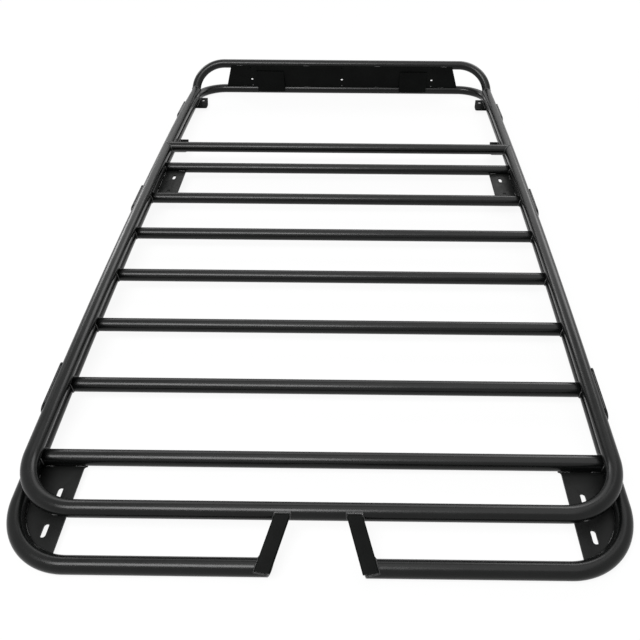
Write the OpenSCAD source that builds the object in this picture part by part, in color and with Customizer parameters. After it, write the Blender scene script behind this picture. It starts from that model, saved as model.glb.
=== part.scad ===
// Roof cargo cage for a mid-size off-road car: a flat basket of welded round steel tube.
// Two stacked tube loops run round it, seven tubes floor it, and a raised hoop with an
// air dam closes its front. X runs to the right, Y to the front and Z up.
// The origin is on the ground under the middle of the cage.

/* [Tube frame] */
// Outer diameter of every tube
tube_d = 35; // [28:1:42]
// Distance between the left and right side rails, centre to centre
rail_span = 1220; // [1000:10:1400]
// Length of the lower loop, rear bar centre to front bar centre
loop_len = 2182; // [2000:10:2500]
// Height that the lower side rails rise at mid length, to follow the roof
crown_h = 35; // [20:1:60]
// Gap that a weld bridges between two pieces
weld_gap = 0.3; // [0.2:0.1:0.5]

/* [Lower loop] */
// Bend radius of the two rear corners, at the tube centre
lower_bend_r = 133; // [100:1:160]
// Bend radius of the two front corners, at the tube centre
front_bend_r = 113; // [90:1:150]
// Distance that each lower side rail stands outside the upper one
lower_out = 4.5; // [0:0.5:8]

/* [Upper loop] */
// Distance that the upper rear bar stands forward of the lower rear bar
rear_setback = 94; // [80:1:120]
// Bend radius of the two upper rear corners, at the tube centre
upper_bend_r = 124; // [100:1:150]
// Distance from the upper crossbar to the front end of the lower loop
crossbar_back = 651; // [600:1:720]

/* [Front hoop] */
// Distance from the hoop's mitre joints back from the front end of the lower loop
hoop_back = 110; // [90:1:140]
// Angle of the hoop above the horizontal
hoop_angle = 44; // [40:1:60]
// Straight length of hoop tube between the mitre and the bend
hoop_stub = 3; // [2:1:30]
// Bend radius of the hoop's corners, at the tube centre
hoop_bend_r = 114; // [80:1:130]

/* [Floor bars] */
// Distance from the lower rear bar to the first floor bar
first_bar = 235; // [220:1:250]
// Distance from the last floor bar to the front end of the lower loop
last_bar_back = 741; // [720:1:760]

/* [Rear notch] */
// Distance from the middle of the cage to the centre of a strut, at the upper rear bar
strut_top_x = 72; // [60:1:120]
// Distance from the middle of the cage to the centre of a strut, at the lower rear bar
strut_low_x = 98; // [80:1:160]
// Width of a strut
strut_w = 31; // [25:1:45]
// Thickness of a strut
strut_t = 8; // [6:0.5:12]
// Radius of the rounded long edges of a strut
strut_edge_r = 3; // [1:0.5:3]
// Length of a strut past the line where it touches the lower rear bar
strut_tail = 14; // [6:1:20]
// Angle between the cut lower end of a strut and the lower rear bar
strut_end_turn = 8; // [0:1:14]
// Distance that a lower rear bar's cut end stands back from the inner edge of its strut
cut_back = 7; // [2:0.5:8]
// Height angle at which a strut meets the rear face of the upper rear bar
strut_meet = 12; // [8:1:16]

/* [Mounting plates] */
// Thickness of the mounting plates and tabs
plate_t = 5; // [3:0.5:6]
// Depth of the top of a plate under the lower tube centres
plate_drop = 6; // [4:1:8]
// Width of a corner plate from the lower rail's centre to its free edge
corner_plate_w = 102; // [90:1:120]
// Width of a middle plate from the lower rail's centre to its free edge
mid_plate_w = 85; // [78:1:100]
// Side of the small flare where a corner plate meets the first floor bar
flare = 6; // [4:1:12]
// Distance between the two slots of a corner plate
bolt_pitch = 83; // [70:1:100]
// Distance from the lower rear bar to the middle of the corner plate's slots
corner_bolt_y = 112; // [105:1:125]
// Distance from the lower rail's centre to the slots of a corner plate
corner_bolt_x = 70; // [60:1:76]
// Distance between the two slots of a middle plate
mid_bolt_pitch = 95; // [80:1:100]
// Distance from the middle of a middle plate back to the middle of its slots
mid_bolt_back = 6; // [0:1:8]
// Distance from the lower rail's centre to the slots of a middle plate
mid_bolt_x = 53; // [48:1:60]
// Width of a slot
slot_w = 11; // [8:0.5:13]
// Length of a slot in a corner plate, end to end
slot_len = 31; // [20:1:34]
// Length of a slot in a middle plate, end to end
mid_slot_len = 26; // [16:1:28]
// Depth of the blind rear slot of a middle plate
blind_depth = 2; // [1:0.5:2.5]

/* [Front tabs] */
// Length of a tab along the rail
tab_len = 91; // [80:1:110]
// Width of a tab from the lower rail's centre to its free edge, at the rear
tab_w = 57; // [52:1:64]
// Width of a tab from the lower rail's centre to its free edge, at the front
tab_front_w = 46; // [45:1:52]
// Length of the tapered part of a tab
tab_taper_len = 60; // [40:1:70]
// Radius of the rounded corner of a tab
tab_corner_r = 8; // [3:1:9]
// Diameter of the hole in a tab
tab_hole_d = 15.5; // [8:0.5:16]
// Distance from the lower rail's centre to the hole in a tab
tab_hole_x = 32; // [28:1:34]
// Distance from the front edge of a tab to its hole
tab_hole_y = 23; // [15:1:35]
// Distance from the front end of the lower loop back to the middle of a front tab
front_tab_back = 152; // [150:1:200]
// Distance from the front end of the lower loop back to the middle of a second tab
second_tab_back = 558; // [540:1:600]

/* [Air dam] */
// Distance from the centre of an upper side rail to the lower corner of the air dam
dam_gap = 112; // [90:1:160]
// Distance that the air dam narrows on each side from its lower edge to its upper one
dam_taper = 32; // [10:1:45]
// Thickness of the air dam
dam_t = 3; // [2:0.5:4]
// Height angle at which the air dam stands on the front bar
dam_meet = 58; // [40:1:70]
// Length of the air dam past the line where it touches the hoop bar
dam_lap = 5; // [3:1:8]
// Distance from the lower corner of the air dam to its outer holes
dam_hole_in = 113; // [60:1:140]
// Height of the lower, middle and upper rows of holes up the air dam
dam_rows = [8, 41, 105]; // [8:1:120]
// Diameter of the holes in each of the three rows
dam_hole_d = [6, 9, 6]; // [4:0.5:12]

/* [Air dam brackets] */
// Distance from the lower corner of the air dam to the centre of a bracket
bracket_in = 193; // [150:1:260]
// Width of a bracket
bracket_w = 116; // [80:1:130]
// Thickness of a bracket
bracket_t = 3; // [2:0.5:5]
// Height up the air dam of a bracket's top edge
bracket_h = 86; // [60:1:100]

/* [Side plates] */
// Length of a side plate along the rails
side_plate_len = 145; // [100:1:170]
// Height of a side plate
side_plate_h = 46; // [44:1:60]
// Radius of the rounded corners of a side plate
side_corner_r = 12; // [4:1:20]
// Thickness of a side plate
side_plate_t = 4; // [3:0.5:6]
// Distance from the lower rear bar to the middle of the rear side plate
side_plate_rear = 400; // [300:1:450]
// Distance from the middle of the cage to the middle of the middle side plate
side_plate_mid = 92; // [50:1:200]
// Distance from the middle of the front side plate to the front end of the lower loop
side_plate_front = 324; // [250:1:350]

/* [Hidden] */

// Number of floor bars
bar_count = 7;
tube_r = tube_d / 2;
// Radius of the cut that lets a tube into a plate or another tube
seat_r = tube_r + weld_gap;
half_span = rail_span / 2;
half_low = half_span + lower_out;
half_len = loop_len / 2;
// Height of the upper tubes over the lower ones, and the lean of a line across both
stack_h = sqrt(pow(tube_d + weld_gap, 2) - lower_out * lower_out);
stack_lean = asin(lower_out / (tube_d + weld_gap));
bar_pitch = (loop_len - first_bar - last_bar_back) / (bar_count - 1);
// Facets round a tube, and round the whole circle of a crowned rail
round_fn = 64;
crown_fn = 1440;
// Reach of a cutting block, larger than any tube
cut = 120;

// The side rails are arcs of one circle seen from the side, with its centre far below
low_rho = (half_len * half_len + crown_h * crown_h) / (2 * crown_h);
up_rho = low_rho + stack_h;
up_half_len = half_len - rear_setback;

// Angle along an arc at which a bend of radius r begins, to end at a given distance
function bend_phi(end, rho, r) = asin(end / norm([rho, r])) - atan(r / rho);
low_phi = bend_phi(half_len, low_rho, lower_bend_r);
front_phi = bend_phi(half_len, low_rho, front_bend_r);
up_phi = bend_phi(up_half_len, up_rho, upper_bend_r);

// Height of the tube centre at the end of a bend, above the centre of the arc
function bend_end(rho, phi, r) = rho * cos(phi) - r * sin(phi);
low_end = bend_end(low_rho, low_phi, lower_bend_r);
front_end = bend_end(low_rho, front_phi, front_bend_r);
arc_z = tube_r - min(low_end, front_end);

// Height of the tube centres at a place along the cage, and the fall of the rail there
function low_z(y) = arc_z + sqrt(low_rho * low_rho - y * y);
function up_z(y) = arc_z + sqrt(up_rho * up_rho - y * y);
function fall(y, rho) = asin(y / rho);

// Centres of the cross tubes, as places along and above the cage
rear_c = [-half_len, arc_z + low_end];
front_c = [half_len, arc_z + front_end];
up_rear_c = [-up_half_len, arc_z + bend_end(up_rho, up_phi, upper_bend_r)];
kink_c = [half_len - hoop_back, up_z(half_len - hoop_back)];
kink_phi = fall(kink_c[0], up_rho);
hoop_reach = hoop_stub + hoop_bend_r;
hoop_c = kink_c + hoop_reach * [cos(hoop_angle), sin(hoop_angle)];
// The mitre between rail and hoop halves the angle between them
mitre = (hoop_angle - kink_phi) / 2;
crossbar_y = half_len - crossbar_back;
side_plate_y = [side_plate_rear - half_len, side_plate_mid, half_len - side_plate_front];

function bar_y(i) = -half_len + first_bar + (i - 1) * bar_pitch;
function heading(v) = atan2(v[1], v[0]);
function turned(a) = [cos(a), sin(a)];

// A strut lies on the lower rear bar and butts against the upper one
strut_top_c = up_rear_c + seat_r * [-cos(strut_meet), sin(strut_meet)];
strut_line = strut_top_c - rear_c;
strut_tilt = heading(strut_line) - asin(seat_r / norm(strut_line));
strut_run = sqrt(norm(strut_line) ^ 2 - seat_r ^ 2);
// Lean of a strut to the side, seen from above
strut_skew = atan((strut_low_x - strut_top_x) / strut_run);
// Place of the free end of a lower rear bar, just outside the inner edge of its strut
cut_x = strut_low_x - strut_w / 2 / cos(strut_skew) + cut_back;

// The air dam stands on the front bar and touches the rear face of the hoop bar
dam_foot = front_c + seat_r * [-cos(dam_meet), sin(dam_meet)];
dam_line = hoop_c - dam_foot;
dam_run = sqrt(norm(dam_line) ^ 2 - seat_r ^ 2);
dam_tilt = heading(dam_line) + asin(seat_r / norm(dam_line));
dam_back = turned(dam_tilt + 90);
dam_half_w = half_span - dam_gap;
// A bracket runs from the rear face of the air dam down to that of the front bar
bracket_top = dam_foot + bracket_h * turned(dam_tilt) + (dam_t + weld_gap) * dam_back;
bracket_line = front_c - bracket_top;
bracket_run = sqrt(norm(bracket_line) ^ 2 - seat_r ^ 2);
bracket_tilt = heading(bracket_line) - asin(seat_r / norm(bracket_line));

steel = [0.12, 0.13, 0.13];

// Straight tube along X, from x0 to x1, at a place c along and above the cage
module cross_tube(x0, x1, c, r = tube_r)
    translate([x0, c[0], c[1]])
        rotate([0, 90, 0])
            cylinder(r = r, h = x1 - x0, $fn = round_fn);

// Short straight stand-in for a crowned rail, used as a cutter
module rail_cutter(x, y, z, rho, len)
    translate([x, y, z])
        rotate([90 - fall(y, rho), 0, 0])
            cylinder(r = seat_r, h = len, center = true, $fn = round_fn);

// Crowned side rail on the right, between two angles along its arc
module rail_arc(x, rho, a0, a1)
    translate([x, 0, arc_z])
        rotate([0, -90, 0])
            rotate([0, 0, a0])
                rotate_extrude(angle = a1 - a0, $fn = crown_fn)
                    translate([rho, 0])
                        circle(r = tube_r, $fn = round_fn);

// Quarter bend of tube in its own plane, from the +X side round to the +Y side
module quarter_bend(bend_r, r = tube_r)
    rotate_extrude(angle = 90, $fn = 4 * round_fn)
        translate([bend_r, 0])
            circle(r = r, $fn = round_fn);

// Right rear bend at the end of a rail arc, sloping as the rail does there
module rear_bend(x, rho, phi, bend_r, r = tube_r)
    translate([x - bend_r, -rho * sin(phi), arc_z + rho * cos(phi)])
        rotate([phi, 0, 0])
            rotate([0, 0, -90])
                quarter_bend(bend_r, r);

// Right front bend of the lower loop
module front_bend(r = tube_r)
    translate([half_low - front_bend_r, low_rho * sin(front_phi),
            arc_z + low_rho * cos(front_phi)])
        rotate([-front_phi, 0, 0])
            quarter_bend(front_bend_r, r);

// The left side repeats the right one
module left() mirror([1, 0, 0]) children();

module upper_rail()
    color(steel)
        difference() {
            rail_arc(half_span, up_rho, -up_phi, kink_phi + atan(tube_d / up_rho));
            translate([half_span - cut / 2, kink_c[0], kink_c[1]])
                rotate([mitre, 0, 0])
                    translate([0, 0, -cut / 2])
                        cube(cut);
        }

module rear_upper_bend()
    color(steel)
        rear_bend(half_span, up_rho, up_phi, upper_bend_r);

module rear_upper_bar()
    color(steel)
        cross_tube(upper_bend_r - half_span, half_span - upper_bend_r, up_rear_c);

module hoop_bend()
    color(steel)
        difference() {
            translate([half_span, kink_c[0], kink_c[1]])
                rotate([hoop_angle, 0, 0]) {
                    translate([-hoop_bend_r, hoop_stub, 0])
                        quarter_bend(hoop_bend_r);
                    translate([0, hoop_stub, 0])
                        rotate([90, 0, 0])
                            cylinder(r = tube_r, h = hoop_stub + tube_r, $fn = round_fn);
                }
            translate([half_span - cut / 2, kink_c[0], kink_c[1]])
                rotate([mitre, 0, 0])
                    translate([0, -cut, -cut / 2])
                        cube(cut);
        }

module hoop_bar()
    color(steel)
        cross_tube(hoop_bend_r - half_span, half_span - hoop_bend_r, hoop_c);

module lower_rail()
    color(steel)
        rail_arc(half_low, low_rho, -low_phi, front_phi);

module rear_lower_bend()
    color(steel)
        rear_bend(half_low, low_rho, low_phi, lower_bend_r);

module front_lower_bend()
    color(steel)
        front_bend();

// Its free end is cut along the strut
module rear_lower_bar()
    color(steel)
        difference() {
            cross_tube(cut_x - tube_r, half_low - lower_bend_r, rear_c);
            translate([cut_x, rear_c[0], 0])
                rotate([0, 0, strut_skew])
                    translate([-cut, -cut / 2, 0])
                        cube(cut);
        }

module front_lower_bar()
    color(steel)
        cross_tube(front_bend_r - half_low, half_low - front_bend_r, front_c);

// Both ends are coped to the upper side rails
module upper_crossbar()
    color(steel)
        difference() {
            cross_tube(-half_span, half_span, [crossbar_y, up_z(crossbar_y)]);
            rail_cutter(half_span, crossbar_y, up_z(crossbar_y), up_rho, 2 * tube_d);
            left()
                rail_cutter(half_span, crossbar_y, up_z(crossbar_y), up_rho, 2 * tube_d);
        }

// Both ends are coped to the lower side rails
module floor_bar(i)
    color(steel)
        difference() {
            cross_tube(-half_low, half_low, [bar_y(i), low_z(bar_y(i))]);
            rail_cutter(half_low, bar_y(i), low_z(bar_y(i)), low_rho, 2 * tube_d);
            left()
                rail_cutter(half_low, bar_y(i), low_z(bar_y(i)), low_rho, 2 * tube_d);
        }

// Bar with rounded edges, from the upper rear bar down and out over the lower one
module strut() {
    // Distance up the strut to the point that is level with the upper rear bar's centre
    foot = seat_r * cos(strut_meet + strut_tilt);
    strut_len = strut_run / cos(strut_skew) + strut_tail;
    color(steel)
        difference() {
            translate([0, strut_top_c[0], strut_top_c[1]])
                rotate([strut_tilt, 0, 0])
                    difference() {
                        translate([strut_top_x, 0, strut_t / 2])
                            rotate([90, 0, strut_skew])
                                translate([0, 0, -tube_d])
                                    linear_extrude(strut_len + 2 * tube_d)
                                        strut_section();
                        translate([strut_top_x + strut_len * sin(strut_skew),
                                -strut_len * cos(strut_skew), 0])
                            rotate([0, 0, strut_end_turn])
                                translate([-cut, -2 * cut, -cut])
                                    cube(2 * cut);
                        translate([0, foot, -cut])
                            cube(2 * cut);
                    }
            cross_tube(0, 2 * strut_low_x, up_rear_c, seat_r);
        }
}

// Section across a strut
module strut_section() {
    square([strut_w - 2 * strut_edge_r, strut_t], center = true);
    square([strut_w, strut_t - 2 * strut_edge_r], center = true);
    rounded_corners(strut_w, strut_t, strut_edge_r);
}

// Four circles in the corners of a rectangle of width w and height h
module rounded_corners(w, h, r)
    for (x = [-1, 1])
        for (y = [-1, 1])
            translate([x * (w / 2 - r), y * (h / 2 - r)])
                circle(r = r, $fn = round_fn);

// Cutting block for a slot along Y, upwards from its own origin
module slot(len)
    linear_extrude(cut) {
        for (end = [-1, 1])
            translate([0, end * (len - slot_w) / 2])
                circle(d = slot_w, $fn = round_fn);
        square([slot_w, len - slot_w], center = true);
    }

// Level plate in the rear corner, let in between the lower tubes
module corner_plate() {
    front_y = bar_y(1);
    top_z = low_z((front_y - half_len) / 2) - plate_drop;
    bend_y = -low_rho * sin(low_phi);
    mid_y = (front_y + bend_y) / 2;
    free_x = half_low - corner_plate_w;
    flare_y = front_y - seat_r * cos(45);
    color(steel)
        difference() {
            translate([0, 0, top_z - plate_t])
                linear_extrude(plate_t) {
                    translate([free_x, bend_y])
                        square([corner_plate_w, front_y - bend_y]);
                    intersection() {
                        translate([half_low - lower_bend_r, bend_y])
                            circle(r = lower_bend_r, $fn = 4 * round_fn);
                        translate([free_x, -half_len])
                            square([corner_plate_w, bend_y + half_len + 1]);
                    }
                    translate([free_x - flare, flare_y])
                        square([flare + 1, front_y - flare_y]);
                    translate([free_x, flare_y])
                        rotate([0, 0, 180])
                            corner_fill(flare);
                }
            cross_tube(free_x - corner_plate_w, half_low, [front_y, low_z(front_y)],
                seat_r);
            cross_tube(free_x - corner_plate_w, half_low - lower_bend_r + 1, rear_c,
                seat_r);
            rear_bend(half_low, low_rho, low_phi, lower_bend_r, seat_r);
            rail_cutter(half_low, mid_y, low_z(mid_y), low_rho,
                front_y - bend_y + tube_d);
            for (end = [-1, 1])
                translate([half_low - corner_bolt_x,
                        corner_bolt_y - half_len + end * bolt_pitch / 2, top_z - cut / 2])
                    slot(slot_len);
        }
}

// Level plate between the two front floor bars, beside a rail, with an open slot in
// front and a blind one behind
module middle_plate() {
    rear_y = bar_y(bar_count - 1);
    front_y = bar_y(bar_count);
    mid_y = (rear_y + front_y) / 2;
    top_z = low_z(mid_y) - plate_drop;
    free_x = half_low - mid_plate_w;
    slot_x = half_low - mid_bolt_x;
    slot_y = mid_y - mid_bolt_back;
    color(steel)
        difference() {
            translate([free_x, rear_y, top_z - plate_t])
                cube([mid_plate_w, front_y - rear_y, plate_t]);
            cross_tube(free_x - mid_plate_w, half_low, [rear_y, low_z(rear_y)], seat_r);
            cross_tube(free_x - mid_plate_w, half_low, [front_y, low_z(front_y)], seat_r);
            rail_cutter(half_low, mid_y, low_z(mid_y), low_rho, 2 * bar_pitch);
            translate([slot_x, slot_y + mid_bolt_pitch / 2, top_z - cut / 2])
                slot(mid_slot_len);
            translate([slot_x, slot_y - mid_bolt_pitch / 2, top_z - blind_depth])
                slot(mid_slot_len);
        }
}

// Level tab on the inner side of a lower rail, tapered to the front, with one hole
module tab(back) {
    mid_y = half_len - back;
    rear_y = mid_y - tab_len / 2;
    front_y = mid_y + tab_len / 2;
    top_z = low_z(mid_y) - plate_drop;
    free_x = half_low - tab_w;
    color(steel)
        difference() {
            translate([0, 0, top_z - plate_t])
                linear_extrude(plate_t)
                    difference() {
                        polygon([[free_x, rear_y], [half_low, rear_y],
                            [half_low, front_y], [half_low - tab_front_w, front_y],
                            [free_x, front_y - tab_taper_len]]);
                        translate([free_x, rear_y])
                            corner_fill(tab_corner_r);
                        translate([half_low - tab_hole_x, front_y - tab_hole_y])
                            circle(d = tab_hole_d, $fn = round_fn);
                    }
            rail_cutter(half_low, mid_y, low_z(mid_y), low_rho, 2 * tab_len);
            front_bend(seat_r);
        }
}

// Corner between two edges, filled out to an arc of radius r that touches both
module corner_fill(r)
    difference() {
        translate([-1, -1])
            square(r + 1);
        translate([r, r])
            circle(r = r, $fn = round_fn);
    }

// Sheet that closes the front between the hoop bar and the front bar
module air_dam() {
    height = dam_run + dam_lap;
    color(steel)
        translate([0, dam_foot[0], dam_foot[1]])
            rotate([dam_tilt, 0, 0])
                difference() {
                    linear_extrude(dam_t)
                        polygon([[-dam_half_w, 0], [dam_half_w, 0],
                            [dam_half_w - dam_taper, height],
                            [dam_taper - dam_half_w, height]]);
                    for (row = [0:len(dam_rows) - 1])
                        for (side = [-1, 0, 1])
                            translate([side * (dam_half_w - dam_hole_in), dam_rows[row], -1])
                                cylinder(d = dam_hole_d[row], h = dam_t + 2,
                                    $fn = round_fn);
                }
}

// Plate behind the air dam, lapped over the front bar
module dam_bracket()
    color(steel)
        translate([dam_half_w - bracket_in - bracket_w / 2, bracket_top[0], bracket_top[1]])
            rotate([bracket_tilt, 0, 0])
                translate([0, 0, -bracket_t])
                    cube([bracket_w, bracket_run, bracket_t]);

// Upright plate with rounded corners that ties the upper rail to the lower one
module side_plate(i) {
    y = side_plate_y[i];
    z = (low_z(y) + up_z(y)) / 2;
    color(steel)
        translate([(half_span + half_low) / 2, y, z])
            rotate([-fall(y, low_rho), 0, 0])
                rotate([0, -stack_lean, 0])
                    translate([seat_r, 0, 0])
                        rotate([90, 0, 90])
                            linear_extrude(side_plate_t)
                                side_plate_shape();
}

module side_plate_shape() {
    square([side_plate_len - 2 * side_corner_r, side_plate_h], center = true);
    square([side_plate_len, side_plate_h - 2 * side_corner_r], center = true);
    rounded_corners(side_plate_len, side_plate_h, side_corner_r);
}

left() upper_rail();  // left_upper_rail
upper_rail();  // right_upper_rail
left() rear_upper_bend();  // rear_left_upper_bend
rear_upper_bend();  // rear_right_upper_bend
rear_upper_bar();
left() hoop_bend();  // left_hoop_bend
hoop_bend();  // right_hoop_bend
hoop_bar();
left() lower_rail();  // left_lower_rail
lower_rail();  // right_lower_rail
left() rear_lower_bend();  // rear_left_lower_bend
rear_lower_bend();  // rear_right_lower_bend
left() front_lower_bend();  // front_left_lower_bend
front_lower_bend();  // front_right_lower_bend
left() rear_lower_bar();  // rear_left_lower_bar
rear_lower_bar();  // rear_right_lower_bar
front_lower_bar();
upper_crossbar();
floor_bar(1);  // floor_bar_1
floor_bar(2);  // floor_bar_2
floor_bar(3);  // floor_bar_3
floor_bar(4);  // floor_bar_4
floor_bar(5);  // floor_bar_5
floor_bar(6);  // floor_bar_6
floor_bar(7);  // floor_bar_7
left() strut();  // left_strut
strut();  // right_strut
left() corner_plate();  // left_corner_plate
corner_plate();  // right_corner_plate
left() middle_plate();  // left_middle_plate
middle_plate();  // right_middle_plate
left() tab(front_tab_back);  // front_left_tab
tab(front_tab_back);  // front_right_tab
left() tab(second_tab_back);  // second_left_tab
tab(second_tab_back);  // second_right_tab
air_dam();
left() dam_bracket();  // left_dam_bracket
dam_bracket();  // right_dam_bracket
left() side_plate(0);  // left_side_plate_1
left() side_plate(1);  // left_side_plate_2
left() side_plate(2);  // left_side_plate_3
side_plate(0);  // right_side_plate_1
side_plate(1);  // right_side_plate_2
side_plate(2);  // right_side_plate_3
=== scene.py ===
from math import asin, atan, atan2, cos, pi, radians, sin, sqrt, tan

import bmesh
import bpy
from mathutils import Matrix, Vector


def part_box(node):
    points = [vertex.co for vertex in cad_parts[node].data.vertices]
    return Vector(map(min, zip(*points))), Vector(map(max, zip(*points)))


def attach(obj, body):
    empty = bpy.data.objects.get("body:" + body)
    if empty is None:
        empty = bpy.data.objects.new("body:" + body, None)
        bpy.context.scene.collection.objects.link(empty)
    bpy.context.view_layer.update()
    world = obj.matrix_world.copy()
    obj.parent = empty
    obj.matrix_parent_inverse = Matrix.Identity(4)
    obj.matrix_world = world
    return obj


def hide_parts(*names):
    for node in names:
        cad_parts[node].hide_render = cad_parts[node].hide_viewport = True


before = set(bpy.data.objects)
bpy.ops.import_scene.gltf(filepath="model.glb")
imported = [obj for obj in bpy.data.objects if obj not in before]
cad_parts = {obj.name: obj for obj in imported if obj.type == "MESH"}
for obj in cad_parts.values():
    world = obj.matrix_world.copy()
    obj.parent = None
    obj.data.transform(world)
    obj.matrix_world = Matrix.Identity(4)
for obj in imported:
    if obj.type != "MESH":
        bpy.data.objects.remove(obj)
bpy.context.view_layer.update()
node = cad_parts


# Studio: a white floor in a white room. The bright soft box hangs above the camera's
# left shoulder, a wide one overhead, and a wall and two small ones stand past the front
# end. The camera looks down over the rear.
camera_spot = Vector((0.0676, -1.7916, 1.2973))
camera_pitch, camera_yaw, camera_roll = radians(37.33), radians(-0.45), radians(0.29)
frame_px, focal_px = 640, 702.0
shift_px = Vector((31.4, -63.7))

ahead = Vector((sin(camera_yaw) * cos(camera_pitch), cos(camera_yaw) * cos(camera_pitch),
                -sin(camera_pitch)))
right = Vector((cos(camera_yaw), -sin(camera_yaw), 0))
up = right.cross(ahead)
rolled_right = right * cos(camera_roll) + up * sin(camera_roll)
rolled_up = up * cos(camera_roll) - right * sin(camera_roll)
camera_data = bpy.data.cameras.new("camera")
camera_data.lens = focal_px / frame_px * camera_data.sensor_width
camera_data.shift_x = -shift_px.x / frame_px
camera_data.shift_y = shift_px.y / frame_px
camera = bpy.data.objects.new("camera", camera_data)
turn = Matrix((rolled_right, rolled_up, -ahead)).transposed().to_4x4()
camera.matrix_world = Matrix.Translation(camera_spot) @ turn
bpy.context.collection.objects.link(camera)
bpy.context.scene.camera = camera
bpy.context.scene.view_settings.view_transform = "Standard"


def soft_box(name, spot, target, width, depth, brightness):
    """A rectangular lamp of even brightness, where 1 is as bright as the white floor."""
    lamp = bpy.data.lights.new(name, "AREA")
    lamp.shape = "RECTANGLE"
    lamp.size, lamp.size_y = width, depth
    lamp.energy = brightness * pi * width * depth
    box = bpy.data.objects.new(name, lamp)
    box.location = spot
    box.rotation_euler = (Vector(target) - Vector(spot)).to_track_quat("-Z", "Y").to_euler()
    box.visible_camera = False
    bpy.context.collection.objects.link(box)


soft_box("key_soft_box", (-1.3, -2.4, 4.0), (-1.0, -0.7, 0), 2.6, 1.7, 13.0)
soft_box("ceiling_soft_box", (0.6, -0.8, 5.0), (0.6, -0.8, 0), 4.5, 5.8, 1.4)
soft_box("front_wall", (0, 5.5, 4.0), (0, 0, 4.0), 12.0, 3.6, 1.6)
soft_box("front_right_soft_box", (2.6, 3.3, 2.9), (0, 0, 0), 2.6, 2.4, 3.4)
soft_box("front_left_soft_box", (-3.1, 3.45, 1.87), (0, 0, 0), 1.1, 1.5, 7.5)


def background_rays(tree):
    """1 on a ray from the camera, off gloss or through glass, and 0 on any other ray."""
    path = tree.nodes.new("ShaderNodeLightPath")
    total = path.outputs["Is Camera Ray"]
    for kind in ("Is Glossy Ray", "Is Transmission Ray"):
        add = tree.nodes.new("ShaderNodeMath")
        add.operation = "ADD"
        add.use_clamp = True
        tree.links.new(total, add.inputs[0])
        tree.links.new(path.outputs[kind], add.inputs[1])
        total = add.outputs[0]
    return total


room_fill = 0.05
world = bpy.data.worlds.new("white_room")
bpy.context.scene.world = world
world.use_nodes = True
tree = world.node_tree
tree.nodes.clear()
out = tree.nodes.new("ShaderNodeOutputWorld")
white = tree.nodes.new("ShaderNodeBackground")
white.inputs["Color"].default_value = (1, 1, 1, 1)
fill = tree.nodes.new("ShaderNodeBackground")
fill.inputs["Color"].default_value = (1, 1, 1, 1)
fill.inputs["Strength"].default_value = room_fill
mix = tree.nodes.new("ShaderNodeMixShader")
tree.links.new(background_rays(tree), mix.inputs["Fac"])
tree.links.new(fill.outputs[0], mix.inputs[1])
tree.links.new(white.outputs[0], mix.inputs[2])
tree.links.new(mix.outputs[0], out.inputs["Surface"])

reach, floor_tone, glow_share = 14.0, 0.9, 0.91
floor_mesh = bpy.data.meshes.new("floor")
floor_mesh.from_pydata([(-reach, -reach, 0), (reach, -reach, 0), (reach, reach, 0),
                        (-reach, reach, 0)], [], [(0, 1, 2, 3)])
floor = bpy.data.objects.new("floor", floor_mesh)
bpy.context.collection.objects.link(floor)
floor_white = bpy.data.materials.new("floor_white")
floor_white.use_nodes = True
tree = floor_white.node_tree
tree.nodes.clear()
out = tree.nodes.new("ShaderNodeOutputMaterial")
matt = tree.nodes.new("ShaderNodeBsdfDiffuse")
matt.inputs["Color"].default_value = (floor_tone, floor_tone, floor_tone, 1)
glow = tree.nodes.new("ShaderNodeEmission")
glow.inputs["Color"].default_value = (1, 1, 1, 1)
share = tree.nodes.new("ShaderNodeMath")
share.operation = "MULTIPLY"
share.inputs[1].default_value = glow_share
mix = tree.nodes.new("ShaderNodeMixShader")
tree.links.new(background_rays(tree), share.inputs[0])
tree.links.new(share.outputs[0], mix.inputs["Fac"])
tree.links.new(matt.outputs[0], mix.inputs[1])
tree.links.new(glow.outputs[0], mix.inputs[2])
tree.links.new(mix.outputs[0], out.inputs["Surface"])
floor_mesh.materials.append(floor_white)


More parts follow.
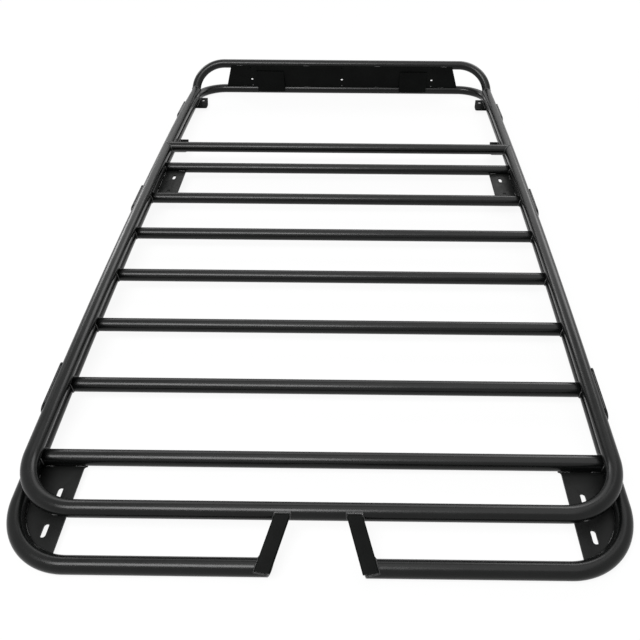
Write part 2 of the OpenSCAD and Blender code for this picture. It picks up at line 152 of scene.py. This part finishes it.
# Tube frame: 35 mm steel tube, bent cold, coped and welded, then sprayed with black
# powder and baked. The coat is satin, with fine orange peel and faint cloudy patches.
def powder_coat(name, black, shine, dullness, peel_mm, peel_depth_mm):
    """Baked black powder: clouded tone and gloss, orange peel, a little dust in the coat."""
    cloud_mm, patch_mm, dust_mm, nib_height = 70, 38, 2.2, 0.00008
    coat = bpy.data.materials.new(name)
    coat.use_nodes = True
    tree = coat.node_tree
    skin = tree.nodes["Principled BSDF"]
    skin.inputs["Specular IOR Level"].default_value = shine
    place = tree.nodes.new("ShaderNodeTexCoord")

    def grain(size_mm, detail):
        noise = tree.nodes.new("ShaderNodeTexNoise")
        noise.inputs["Scale"].default_value = 1000 / size_mm
        noise.inputs["Detail"].default_value = detail
        tree.links.new(place.outputs["Object"], noise.inputs["Vector"])
        return noise.outputs["Fac"]

    def spread(source, low, high, to_low, to_high):
        between = tree.nodes.new("ShaderNodeMapRange")
        between.inputs["From Min"].default_value = low
        between.inputs["From Max"].default_value = high
        between.inputs["To Min"].default_value = to_low
        between.inputs["To Max"].default_value = to_high
        tree.links.new(source, between.inputs["Value"])
        return between.outputs["Result"]

    def tinted(factor, under, over):
        blend = tree.nodes.new("ShaderNodeMix")
        blend.data_type = "RGBA"
        for socket, tone in (("A", under), ("B", over)):
            if isinstance(tone, float):
                blend.inputs[socket].default_value = (*[part * tone for part in black], 1)
            else:
                tree.links.new(tone, blend.inputs[socket])
        tree.links.new(factor, blend.inputs["Factor"])
        return blend.outputs["Result"]

    def total(first, second):
        add = tree.nodes.new("ShaderNodeMath")
        add.operation = "ADD"
        tree.links.new(first, add.inputs[0])
        tree.links.new(second, add.inputs[1])
        return add.outputs[0]

    clouds = tinted(spread(grain(cloud_mm, 4), 0.35, 0.65, 0, 1), 0.75, 1.3)
    dust = spread(grain(dust_mm, 2), 0.73, 0.80, 0, 0.6)
    tree.links.new(tinted(dust, clouds, 3.5), skin.inputs["Base Color"])
    patches = spread(grain(patch_mm, 5), 0.3, 0.7, dullness - 0.035, dullness + 0.045)
    specks = spread(dust, 0, 1, 0, 0.12)
    tree.links.new(total(patches, specks), skin.inputs["Roughness"])

    ripple = tree.nodes.new("ShaderNodeBump")
    ripple.inputs["Strength"].default_value = 0.5
    ripple.inputs["Distance"].default_value = peel_depth_mm / 1000
    tree.links.new(grain(peel_mm, 1.5), ripple.inputs["Height"])
    nibs = tree.nodes.new("ShaderNodeBump")
    nibs.inputs["Strength"].default_value = 0.4
    nibs.inputs["Distance"].default_value = nib_height
    tree.links.new(dust, nibs.inputs["Height"])
    tree.links.new(ripple.outputs["Normal"], nibs.inputs["Normal"])
    tree.links.new(nibs.outputs["Normal"], skin.inputs["Normal"])
    return coat


tube_coat = powder_coat("tube_coat", (0.0022, 0.0025, 0.0024), 0.22, 0.25, 1.1, 0.03)
for name in node:
    if any(word in name for word in ("rail", "bend", "_bar", "crossbar")):
        node[name].data.materials.clear()
        node[name].data.materials.append(tube_coat)
        for face in node[name].data.polygons:
            face.material_index = 0


# Floor bars and crossbar: each end is coped to a side rail and welded all round, with
# the ripples of a hand-laid bead left standing under the powder.
tube_r, weld_gap, crown = 0.0175, 0.0003, 0.035
half_len = (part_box("front_lower_bar")[1][1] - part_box("rear_left_lower_bar")[0][1]) / 2 - tube_r
half_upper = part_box("right_upper_rail")[1][0] - tube_r
half_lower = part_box("right_lower_rail")[1][0] - tube_r
lower_arc = (half_len ** 2 + crown ** 2) / (2 * crown)
stack_h = sqrt((2 * tube_r + weld_gap) ** 2 - (half_lower - half_upper) ** 2)
upper_arc = lower_arc + stack_h
arc_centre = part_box("right_lower_rail")[1][2] - tube_r - lower_arc


def rail_z(arc, y):
    """Height of a crowned side rail's centre at a place along the cage."""
    return arc_centre + sqrt(arc ** 2 - y ** 2)


def middle(name):
    """Place along the cage and height of the centre of a cross tube."""
    low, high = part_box(name)
    return Vector(((low[1] + high[1]) / 2, (low[2] + high[2]) / 2))


def weld_bead_tree():
    """Beads along the edges of a path: a round section that swells once a ripple."""
    section_sides, points_a_ripple, shakes_a_metre, thinnest_end = 8, 4, 160, 0.06
    tree = bpy.data.node_groups.new("weld_bead", "GeometryNodeTree")
    ports = tree.interface
    ports.new_socket("Path", in_out="INPUT", socket_type="NodeSocketGeometry")
    for port in ("Bead Radius", "Ripple Pitch", "Ripple Depth", "Wander", "Blunt Ends"):
        ports.new_socket(port, in_out="INPUT", socket_type="NodeSocketFloat")
    ports.new_socket("Seed", in_out="INPUT", socket_type="NodeSocketFloat")
    ports.new_socket("Coat", in_out="INPUT", socket_type="NodeSocketMaterial")
    ports.new_socket("Bead", in_out="OUTPUT", socket_type="NodeSocketGeometry")
    given = tree.nodes.new("NodeGroupInput")
    result = tree.nodes.new("NodeGroupOutput")

    def sums(operation, *terms):
        step = tree.nodes.new("ShaderNodeMath")
        step.operation = operation
        for socket, term in zip(step.inputs, terms):
            if isinstance(term, (int, float)):
                socket.default_value = term
            else:
                tree.links.new(term, socket)
        return step.outputs[0]

    radius, pitch = given.outputs["Bead Radius"], given.outputs["Ripple Pitch"]
    depth, blunt = given.outputs["Ripple Depth"], given.outputs["Blunt Ends"]
    line = tree.nodes.new("GeometryNodeMeshToCurve")
    tree.links.new(given.outputs["Path"], line.inputs["Mesh"])
    steps = tree.nodes.new("GeometryNodeResampleCurve")
    steps.mode = "LENGTH"
    tree.links.new(line.outputs["Curve"], steps.inputs["Curve"])
    tree.links.new(sums("DIVIDE", pitch, points_a_ripple), steps.inputs["Length"])

    place = tree.nodes.new("GeometryNodeInputPosition")
    shake = tree.nodes.new("ShaderNodeTexNoise")
    shake.noise_dimensions = "4D"
    shake.inputs["Scale"].default_value = shakes_a_metre
    tree.links.new(place.outputs[0], shake.inputs["Vector"])
    tree.links.new(given.outputs["Seed"], shake.inputs["W"])
    centred = tree.nodes.new("ShaderNodeVectorMath")
    centred.operation = "SUBTRACT"
    centred.inputs[1].default_value = (0.5, 0.5, 0.5)
    tree.links.new(shake.outputs["Color"], centred.inputs[0])
    offset = tree.nodes.new("ShaderNodeVectorMath")
    offset.operation = "SCALE"
    tree.links.new(centred.outputs[0], offset.inputs[0])
    tree.links.new(given.outputs["Wander"], offset.inputs["Scale"])
    wander = tree.nodes.new("GeometryNodeSetPosition")
    tree.links.new(steps.outputs["Curve"], wander.inputs["Geometry"])
    tree.links.new(offset.outputs[0], wander.inputs["Offset"])

    along = tree.nodes.new("GeometryNodeSplineParameter").outputs["Length"]
    whole = tree.nodes.new("GeometryNodeSplineLength").outputs["Length"]
    beat = sums("ABSOLUTE", sums("SINE", sums("MULTIPLY", sums("DIVIDE", along, pitch), pi)))
    swell = sums("ADD", sums("SUBTRACT", 1, depth), sums("MULTIPLY", beat, depth))
    from_end = sums("MINIMUM", along, sums("SUBTRACT", whole, along))
    taper = sums("MINIMUM", 1, sums("DIVIDE", from_end, sums("MULTIPLY", radius, 2)))
    ends = sums("MAXIMUM", blunt, sums("SQRT", sums("MAXIMUM", taper, thinnest_end)))
    section = tree.nodes.new("GeometryNodeCurvePrimitiveCircle")
    section.inputs["Resolution"].default_value = section_sides
    section.inputs["Radius"].default_value = 1
    bead = tree.nodes.new("GeometryNodeCurveToMesh")
    bead.inputs["Fill Caps"].default_value = True
    tree.links.new(wander.outputs[0], bead.inputs["Curve"])
    tree.links.new(sums("MULTIPLY", radius, sums("MULTIPLY", swell, ends)),
                   bead.inputs["Scale"])
    tree.links.new(section.outputs["Curve"], bead.inputs["Profile Curve"])
    smooth = tree.nodes.new("GeometryNodeSetShadeSmooth")
    tree.links.new(bead.outputs["Mesh"], smooth.inputs[0])
    real = tree.nodes.new("GeometryNodeRealizeInstances")
    tree.links.new(smooth.outputs[0], real.inputs[0])
    coated = tree.nodes.new("GeometryNodeSetMaterial")
    tree.links.new(real.outputs[0], coated.inputs["Geometry"])
    tree.links.new(given.outputs["Coat"], coated.inputs["Material"])
    tree.links.new(coated.outputs[0], result.inputs["Bead"])
    return tree


bead_tree = weld_bead_tree()
weld_coat = powder_coat("weld_coat", (0.0034, 0.0037, 0.0036), 0.45, 0.24, 0.9, 0.07)


def lay_beads(name, closed, lines, radius_mm, pitch_mm, seed):
    """One piece of weld beads along the lines, each a row of points."""
    points, edges = [], []
    for line in lines:
        first = len(points)
        points += [tuple(point) for point in line]
        edges += [(first + i, first + i + 1) for i in range(len(line) - 1)]
        if closed:
            edges.append((len(points) - 1, first))
    mesh = bpy.data.meshes.new(name)
    mesh.from_pydata(points, edges, [])
    piece = bpy.data.objects.new(name, mesh)
    bpy.context.collection.objects.link(piece)
    layer = piece.modifiers.new("weld_bead", "NODES")
    layer.node_group = bead_tree
    values = {"Bead Radius": radius_mm / 1000, "Ripple Pitch": pitch_mm / 1000,
              "Ripple Depth": 0.24, "Wander": 0.0009, "Blunt Ends": 1.0 if closed else 0.0,
              "Seed": float(seed), "Coat": weld_coat}
    for port in bead_tree.interface.items_tree:
        if port.name in values:
            layer[port.identifier] = values[port.name]
    seen = bpy.context.evaluated_depsgraph_get()
    laid = bpy.data.meshes.new_from_object(piece.evaluated_get(seen), depsgraph=seen)
    piece.modifiers.clear()
    piece.data = laid
    laid.name = name
    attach(piece, "root")


def both_sides(lines):
    """The lines of the right side and their mirror images on the left."""
    return lines + [[(-x, y, z) for x, y, z in line] for line in lines]


round_steps = 56


def saddle(rail_x, arc, bar):
    """Line round a cross tube where it meets a rail, sunk a little at the cope's thin tips."""
    side_stand, tip_dip = 0.0009, 0.0017
    line = []
    for step in range(round_steps):
        t = 2 * pi * step / round_steps
        stand = tube_r + side_stand - tip_dip * abs(sin(t)) ** 3
        y, z = bar[0] + stand * cos(t), bar[1] + stand * sin(t)
        rise = (z - rail_z(arc, y)) * cos(asin(y / arc))
        line.append((rail_x - sqrt(max(stand ** 2 - rise ** 2, 0)), y, z))
    return line


floor_bars = [middle(f"floor_bar_{i}") for i in range(1, 8)]
lay_beads("floor_bar_welds", True,
          both_sides([saddle(half_lower, lower_arc, bar) for bar in floor_bars]), 2.5, 2.6, 3)
lay_beads("crossbar_welds", True,
          both_sides([saddle(half_upper, upper_arc, middle("upper_crossbar"))]), 2.6, 2.6, 8)


# Front hoop: its legs are mitred to the upper rails, and the butt joint is welded round
# with a low bead that stands as a collar.
hoop_angle, hoop_back, collar_sunk = radians(44), 0.110, 0.0006
kink = Vector((half_len - hoop_back, rail_z(upper_arc, half_len - hoop_back)))
kink_fall = asin(kink[0] / upper_arc)
mitre = (hoop_angle - kink_fall) / 2
lean = (hoop_angle + kink_fall) / 2
collar = []
for step in range(round_steps):
    t = 2 * pi * step / round_steps
    rise = (tube_r - collar_sunk) / cos(lean) * sin(t)
    collar.append((half_upper + (tube_r - collar_sunk) * cos(t),
                   kink[0] - sin(mitre) * rise, kink[1] + cos(mitre) * rise))
lay_beads("hoop_welds", True, both_sides([collar]), 2.3, 2.6, 5)


# Struts: flat bar with rounded edges, lying over the lower half bars and coped to the
# rear upper bar. A bead runs round the top, another round the free lower end, and a
# short one round the cut end of the half bar below.
def break_edges(name, radius_mm, coat):
    """A cut plate with its sawn edges broken by a file, which stands for its CAD node."""
    merge_within, flat_within, edge_over, crease = 0.00002, radians(0.5), radians(40), radians(16)
    mesh = node[name].data.copy()
    mesh.name = name + "_finished"
    shape = bmesh.new()
    shape.from_mesh(mesh)
    bmesh.ops.remove_doubles(shape, verts=shape.verts, dist=merge_within)
    bmesh.ops.dissolve_limit(shape, angle_limit=flat_within, verts=shape.verts,
                             edges=shape.edges)
    sharp = [edge for edge in shape.edges
             if len(edge.link_faces) == 2 and edge.calc_face_angle() > edge_over]
    bmesh.ops.bevel(shape, geom=sharp, offset=radius_mm / 1000, segments=3, profile=0.5,
                    affect="EDGES", clamp_overlap=True)
    bmesh.ops.triangulate(shape, faces=[face for face in shape.faces if len(face.verts) > 4])
    for face in shape.faces:
        face.smooth = True
        face.material_index = 0
    shape.to_mesh(mesh)
    shape.free()
    mesh.set_sharp_from_angle(angle=crease)
    mesh.materials.clear()
    mesh.materials.append(coat)
    piece = bpy.data.objects.new(name + "_finished", mesh)
    bpy.context.collection.objects.link(piece)
    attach(piece, "root")
    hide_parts(name)


plate_coat = powder_coat("plate_coat", (0.0036, 0.0039, 0.0037), 0.13, 0.48, 1.0, 0.05)
sheet_coat = powder_coat("sheet_coat", (0.0022, 0.0025, 0.0023), 0.04, 0.50, 1.0, 0.05)
for name in ("left_strut", "right_strut"):
    break_edges(name, 0.4, sheet_coat)

strut_top, strut_low, strut_w, strut_t, strut_tail = 0.072, 0.098, 0.031, 0.008, 0.014
strut_meet, strut_end_turn = radians(12), radians(8)
seat_r = tube_r + weld_gap
upper_bar, lower_bar = middle("rear_upper_bar"), middle("rear_left_lower_bar")
strut_head = upper_bar + seat_r * Vector((-cos(strut_meet), sin(strut_meet)))
slope = strut_head - lower_bar
strut_tilt = atan2(slope[1], slope[0]) - asin(seat_r / slope.length)
strut_run = sqrt(slope.length ** 2 - seat_r ** 2)
strut_skew = (strut_low - strut_top) / strut_run
strut_up = Vector((cos(strut_tilt), sin(strut_tilt)))
strut_out = Vector((-sin(strut_tilt), cos(strut_tilt)))


def on_strut(across, climb, proud):
    """Point by a strut: across from its middle line, up it, and proud of its underside."""
    spot = strut_head + climb * strut_up + proud * strut_out
    return (strut_top - climb * strut_skew + across, spot[0], spot[1])


head_stand, head_clear, side_steps = 0.0012, 0.0003, 12
head_line = []
corners = ((-0.5, 1), (0.5, 1), (0.5, 0), (-0.5, 0))
for first, second in zip(corners, corners[1:] + corners[:1]):
    for step in range(side_steps):
        part = step / side_steps
        across = (first[0] + (second[0] - first[0]) * part) * (strut_w + 2 * head_clear)
        proud = (first[1] + (second[1] - first[1]) * part) * strut_t
        start = strut_head + proud * strut_out - upper_bar
        run_in = start.dot(strut_up)
        climb = -run_in - sqrt(max(run_in ** 2 - start.length_squared
                                   + (tube_r + head_stand) ** 2, 0))
        head_line.append(on_strut(across, climb, proud))
lay_beads("strut_head_welds", True, both_sides([head_line]), 3.1, 3.4, 11)

foot_top, foot_side, deepest = 0.018, 0.54, 0.0014
end_slant = tan(atan(strut_skew) - strut_end_turn)
down_side = [(foot_top - 0.002 * i, foot_side, 0) for i in range(16)]
along_end = [(-strut_tail, 0.52 - 0.11 * i, end_slant) for i in range(8)]
foot_line = []
for climb, across, slant in down_side + along_end:
    gap = sqrt(seat_r ** 2 + climb ** 2) - seat_r
    foot_line.append(on_strut(across * strut_w, climb - strut_run + across * strut_w * slant,
                              -min(0.45 * gap, deepest)))
cut_end_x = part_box("rear_right_lower_bar")[0][0]
cut_end_slant = strut_skew / cos(strut_tilt)
rim_sunk, rim_stand = 0.0008, 0.0004
rim_line = []
for i in range(11):
    turned = radians(30 + 5 * i)
    spot = lower_bar + (tube_r - rim_sunk) * (cos(turned) * strut_out - sin(turned) * strut_up)
    outward = (lower_bar[0] + tube_r - spot[0]) * cut_end_slant
    rim_line.append((cut_end_x + outward - rim_stand, spot[0], spot[1]))
lay_beads("strut_foot_welds", False, both_sides([foot_line, rim_line]), 2.5, 2.4, 12)


# Corner and middle plates: 5 mm steel let in between the tubes, with punched slots, and
# welded to the tubes along their top faces.
for name in ("left_corner_plate", "right_corner_plate", "left_middle_plate",
             "right_middle_plate"):
    break_edges(name, 0.6, plate_coat)

bead_lift, bead_stand = 0.0009, 0.0011


def beside_tube(centre_z, face_z):
    """Distance from a tube's centre to a bead laid on a plate face that meets it."""
    return sqrt((tube_r + bead_stand) ** 2 - (centre_z - face_z - bead_lift) ** 2)


def beside_rail(y, face_z):
    """Place of such a bead on the inner side of the right lower rail."""
    return (half_lower - beside_tube(rail_z(lower_arc, y), face_z), y, face_z + bead_lift)


def stitch(place, start, step):
    """A short weld of nine points, each the place for a number that grows by a step."""
    return [place(start + step * i) for i in range(9)]


low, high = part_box("right_corner_plate")
free_x, face_z = low[0] + 0.006, high[2]
front_y = floor_bars[0][0] - beside_tube(floor_bars[0][1], face_z)
rail_x = beside_rail(front_y, face_z)[0]
bend_r = 0.133
bend_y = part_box("right_lower_rail")[0][1]
bend_fall = asin(-bend_y / lower_arc)


def round_the_bend(turned):
    """Place of a bead on the inner side of the rear bend, by the angle turned from the rail."""
    centre_z = rail_z(lower_arc, bend_y) - bend_r * sin(turned) * sin(bend_fall)
    inner = bend_r - beside_tube(centre_z, face_z)
    return (half_lower - bend_r + inner * cos(turned), bend_y - inner * sin(turned),
            face_z + bead_lift)


corner_stitches = [
    stitch(lambda x: (x, front_y, face_z + bead_lift), free_x - 0.003, 0.003),
    stitch(lambda x: (x, front_y, face_z + bead_lift), rail_x - 0.024, 0.003),
    stitch(lambda y: beside_rail(y, face_z), front_y - 0.020, -0.004),
    stitch(round_the_bend, radians(24), radians(2.2)),
    stitch(round_the_bend, radians(56), radians(2.2))]
lay_beads("corner_plate_welds", False, both_sides(corner_stitches), 1.9, 2.3, 21)

low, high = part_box("right_middle_plate")
free_x, face_z = low[0], high[2]
sixth_bar, seventh_bar = floor_bars[5], floor_bars[6]
middle_stitches = []
for bar, side in ((sixth_bar, 1), (seventh_bar, -1)):
    bar_y = bar[0] + side * beside_tube(bar[1], face_z)
    middle_stitches.append(
        stitch(lambda x: (x, bar_y, face_z + bead_lift), free_x + 0.001, 0.003))
for start in (sixth_bar[0] + 0.030, seventh_bar[0] - 0.060):
    middle_stitches.append(stitch(lambda y: beside_rail(y, face_z), start, 0.004))
lay_beads("middle_plate_welds", False, both_sides(middle_stitches), 1.9, 2.3, 22)


# Front tabs: 5 mm steel with one bolt hole each, welded to the inner side of the lower
# rails along their top faces.
tab_lines = []
for name in ("front_right_tab", "second_right_tab"):
    break_edges(name, 0.6, sheet_coat)
    break_edges(name.replace("right", "left"), 0.6, sheet_coat)
    low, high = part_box(name)
    end_y = min(high[1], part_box("right_lower_rail")[1][1])
    start_y, end_y = low[1] + 0.004, end_y - 0.003
    tab_lines.append([beside_rail(start_y + part * (end_y - start_y) / 6, high[2])
                      for part in range(7)])
lay_beads("tab_welds", False, both_sides(tab_lines), 1.9, 2.3, 31)


# Air dam: 3 mm sheet that stands on the front bar and leans on the hoop bar, held to
# both by stitches of weld along its rear face.
break_edges("air_dam", 0.4, sheet_coat)
dam_meet = radians(58)
front_bar, hoop_bar = middle("front_lower_bar"), middle("hoop_bar")
dam_foot = front_bar + seat_r * Vector((-cos(dam_meet), sin(dam_meet)))
dam_slope = hoop_bar - dam_foot
dam_tilt = atan2(dam_slope[1], dam_slope[0]) + asin(seat_r / dam_slope.length)
dam_up = Vector((cos(dam_tilt), sin(dam_tilt)))
dam_back = Vector((-sin(dam_tilt), cos(dam_tilt)))
dam_run = sqrt(dam_slope.length ** 2 - seat_r ** 2)
dam_low_edge = dam_foot + 0.0034 * dam_back + 0.0006 * dam_up
dam_high_edge = dam_foot + 0.0002 * dam_back + (dam_run + 0.0055) * dam_up
stitches = []
for x in (-0.43, -0.15, 0.15, 0.43):
    for edge in (dam_low_edge, dam_high_edge):
        stitches.append([(x + 0.004 * i - 0.014, edge[0], edge[1]) for i in range(8)])
lay_beads("air_dam_welds", False, stitches, 2.0, 2.3, 41)


# Air dam brackets: flat plates behind the dam, welded to the front bar at both ends of
# their lower edges.
tick_y = front_bar[0] - tube_r * 0.97
ticks = []
for name in ("left_dam_bracket", "right_dam_bracket"):
    break_edges(name, 0.5, sheet_coat)
    low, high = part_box(name)
    for x in (low[0] + 0.002, high[0] - 0.016):
        ticks.append([(x + 0.002 * i, tick_y, low[2] - 0.0006) for i in range(8)])
lay_beads("bracket_welds", False, ticks, 2.0, 2.3, 42)


# Side plates: 4 mm steel with rounded corners on the outer side of each pair of rails,
# tied to both rails by a stitch along each long edge.
seam_half, seam_out = 0.054, 0.0232
seams = []
stack = Vector((half_upper - half_lower, stack_h)) / (2 * tube_r + weld_gap)
for place in (1, 2, 3):
    break_edges(f"left_side_plate_{place}", 0.5, plate_coat)
    break_edges(f"right_side_plate_{place}", 0.5, plate_coat)
    low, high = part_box(f"right_side_plate_{place}")
    y = (low[1] + high[1]) / 2
    fall = asin(y / lower_arc)
    centre = Vector(((half_upper + half_lower) / 2,
                     (rail_z(lower_arc, y) + rail_z(upper_arc, y)) / 2))
    for edge in (-1, 1):
        root = centre + edge * seam_out * stack + seat_r * Vector((stack[1], -stack[0]))
        seams.append([(root[0], y + offset * cos(fall), root[1] - offset * sin(fall))
                      for offset in [0.006 * i - seam_half for i in range(19)]])
lay_beads("side_plate_welds", False, both_sides(seams), 2.0, 2.3, 51)
